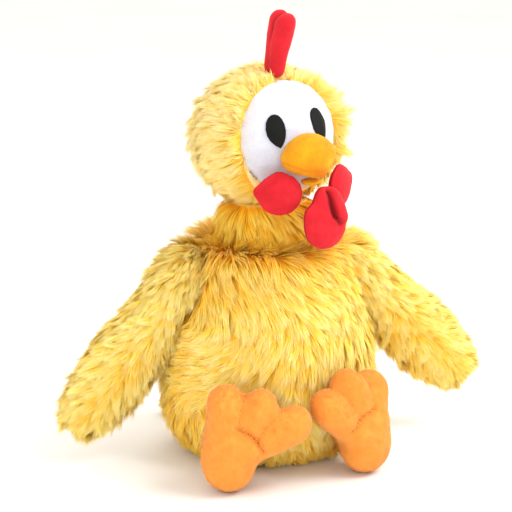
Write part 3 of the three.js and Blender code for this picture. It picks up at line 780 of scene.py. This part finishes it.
for body in ("wing_left", "wing_right"):
    origin, axis = joints[f"{body}_lift"]
    cover = skin(f"{body}_skin", bodies[body], 4 * MM, 6, -2.5 * MM)
    settle(cover, body, backing, bodies[body])
    co = coords(cover.data)
    distance = np.linalg.norm(co - origin, axis=1)
    arm = co[distance > np.quantile(distance, 0.7)].mean(0) - origin
    arm = unit(arm - (arm @ axis) * axis)
    depth = axis if axis[1] > 0 else -axis
    rise = np.cross(arm, depth)
    axes = np.array([arm, depth, rise * np.sign(rise[2])])
    roots, normals = scatter(cover, STRANDS["wing"], rng)
    local = (roots - origin) @ axes.T
    reach = local[:, 0] / local[:, 0].max()
    keep = (local[:, 0] > -6 * MM) | (normals[:, 2] > 0.1)
    roots, normals, local, reach = (v[keep] for v in (roots, normals, local, reach))
    seam = np.tanh(local[:, 2] / (5 * MM))
    spread = 0.75 * smoothstep(reach, 0.15, 0.4) * (1 - 0.5 * smoothstep(reach, 0.75, 1))
    flow = axes[0] + (seam * spread)[:, None] * axes[2]
    flow -= (0.25 * (1 - reach))[:, None] * UP
    lower = smoothstep(-local[:, 2], 6 * MM, 22 * MM)
    length = (15 + 5 * lower * smoothstep(reach, 0.25, 0.5) - smoothstep(reach, 0.8, 1)) * MM
    # Strands are more golden along the wing's parting; the left wing's extra gold, most on its lower part against
    # the body, is painted shade.
    gold_and_shade = 0.15 + 0.35 * np.exp(-((local[:, 2] / (5 * MM)) ** 2)) * smoothstep(reach, 0.3, 0.5)
    if body == "wing_left":
        gold_and_shade += 0.4 * lower + 0.15
    lift = 0.34 + 0.16 * (1 - smoothstep(reach, 0.0, 0.2))
    for panel, inside in (("outer", local[:, 2] >= 0), ("inner", local[:, 2] < 0)):
        pile(
            f"{body}_pile_{panel}", body, "fur_yellow", FUR["body"], rng=rng,
            roots=roots[inside], normals=normals[inside], flow=flow[inside], length=length[inside],
            lift=lift[inside], width=0.7 * MM, tone=gold_and_shade[inside], pull=0.4,
        )


# ---- Legs and feet ----

# Each foot's side and the leans of its toes, in degrees, from the outer to the inner one.
FEET = {"left": (1, (-9, 20, 49)), "right": (-1, (-3, 31, 62))}


def foot_shape(side, leans, origin, axes):
    def shape(obj):
        local = (coords(obj.data) - origin) @ axes.T / MM
        inner = -side * local[:, 0]
        rise = local[:, 2] + 4
        reach = np.hypot(inner, rise)
        angle = np.degrees(np.arctan2(inner, rise))
        front = smoothstep(-local[:, 1], -2, 6)
        pad = (1 - smoothstep(reach, 16, 27)) * front
        low, high = (leans[0] + leans[1]) / 2, leans[2]
        arc = np.exp(-(((reach - 28) / 1.7) ** 2)) * smoothstep(angle, low - 8, low + 4)
        arc *= front * (1 - smoothstep(angle, high + 4, high + 14))
        local[:, 1] -= pad * 3.5
        waist = np.exp(-(((rise - 16) / 9) ** 2)) * smoothstep(-inner, 4, 14)
        local[:, 0] += side * waist * 3.5
        local[:, 2] += smoothstep(rise, 8, 40) * 4
        set_coords(obj.data, local * MM @ axes + origin)
        # The crease between the pad and the toes and the lines between the toes are pressed in and darkened by the
        # seam colour: partly seams, partly painted shade in the creases.
        seam_and_shade_of(obj, arc, 3.0 * MM)
        for between in (low, (leans[1] + leans[2]) / 2):
            line = np.exp(-(((angle - between) * np.radians(1) * reach / 1.6) ** 2))
            seam_and_shade_of(obj, line * smoothstep(reach, 25, 31) * 0.4, 2.0 * MM)
        edge_seam(obj, origin, axes, 1.0 * MM)
    return shape


for side, (sign, leans) in FEET.items():
    origin, axis = joints[f"foot_{side}_tip"]
    body = f"leg_{side}"
    leg = skin(body, bodies[body], 3 * MM, 5)
    subdivide(leg)
    settle(leg, body, orange_plush, bodies[body])
    body = f"foot_{side}"
    shape = foot_shape(sign, leans, origin, axes_from(axis, UP))
    foot = padded_piece(
        body, 3 * MM, 2 * MM, shape, orange_plush, -1.2 * MM,
    )
    roots, normals = scatter(foot, STRANDS["foot"], rng)
    keep = roots[:, 2] > LOWEST_ROOT["foot"]
    roots, normals = roots[keep], normals[keep]
    flow = rng.normal(size=roots.shape) * 0.4 - UP
    pile(
        f"{body}_nap", body, "plush_orange", orange_nap, rng=rng, roots=roots, normals=normals,
        flow=flow, length=1.5 * MM, lift=0.3, width=0.4 * MM, tone=0.15, clump=3 * MM, pull=0,
        segments=2, frizz=0.1 * MM, droop=0, roll=0.25,
    )


# ---- Tail ----

tail_skin = skin("tail_skin", bodies["tail"], 3 * MM, 4, -1 * MM)
settle(tail_skin, "tail", backing, bodies["tail"])
roots, normals = scatter(tail_skin, STRANDS["tail"], rng)
origin = joints["tail_lift"][0]
keep = roots[:, 1] > origin[1]
roots, normals = roots[keep], normals[keep]
flow = unit((roots - origin) * [1, 1, 0.3]) + 0.1 * UP
low = 1 - 0.75 * smoothstep(-roots[:, 2], -9 * MM, -2 * MM)
pile(
    "tail_pile", "tail", "fur_yellow", FUR["body"], rng=rng, roots=roots, normals=normals,
    flow=flow, length=13 * MM, lift=0.3 * low, width=STRAND_WIDTH, tone=0.3, clump=7 * MM, pull=0.6,
    droop=0.05,
)


# ---- Floor, light and camera ----

floor = bpy.data.objects.new("floor", bpy.data.meshes.new("floor"))
bm = bmesh.new()
bmesh.ops.create_grid(bm, x_segments=8, y_segments=8, size=6)
bm.to_mesh(floor.data)
bm.free()
bpy.context.scene.collection.objects.link(floor)
paper = Nodes("paper")
shade = paper.ramp(paper.noise(3), [(0.3, (0.86, 0.86, 0.86, 1)), (0.7, (0.9, 0.9, 0.9, 1))])
floor.data.materials.append(paper.finish(shade, paper.scaled(paper.noise(5), 0.7, 0.8), 0))

aim = Vector((0, 0, LAMP_AIM * (cad_box[1][2] - cad_box[0][2])))


def lamp(name, place, size, power, colour=(1, 1, 1)):
    """A square lamp placed from the point it shines at."""
    light = bpy.data.lights.new(name, "AREA")
    light.size = size
    light.energy = power
    light.color = colour
    obj = bpy.data.objects.new(name, light)
    obj.location = aim + Vector(place)
    obj.rotation_euler = (aim - obj.location).to_track_quat("-Z", "Y").to_euler()
    bpy.context.scene.collection.objects.link(obj)


lamp("key", (1.0, -0.6, 1.3), 0.9, 23)
lamp("fill", (-1.3, -1.2, 0.6), 1.4, 6, (1, 0.9, 0.76))
lamp("back", (0.7, 1.2, 1.0), 1.2, 10)
world = bpy.data.worlds.new("studio")
world.use_nodes = True
world.node_tree.nodes["Background"].inputs["Color"].default_value = SKY
world.node_tree.nodes["Background"].inputs["Strength"].default_value = SKY_STRENGTH
bpy.context.scene.world = world
bpy.context.scene.view_settings.view_transform = "Standard"

towards = Vector((
    math.sin(AZIMUTH) * math.cos(ELEVATION),
    -math.cos(AZIMUTH) * math.cos(ELEVATION),
    math.sin(ELEVATION),
))
right = Vector((math.cos(AZIMUTH), math.sin(AZIMUTH), 0))
camera = bpy.data.objects.new("camera", bpy.data.cameras.new("camera"))
camera.data.angle = LENS
camera.location = Vector((0, 0, AIM_HEIGHT)) + towards * DISTANCE
target = Vector((0, 0, AIM_HEIGHT)) - right * SHIFT_RIGHT - towards.cross(right) * SHIFT_UP
camera.rotation_euler = (target - camera.location).to_track_quat("-Z", "Y").to_euler()
bpy.context.scene.collection.objects.link(camera)
bpy.context.scene.camera = camera
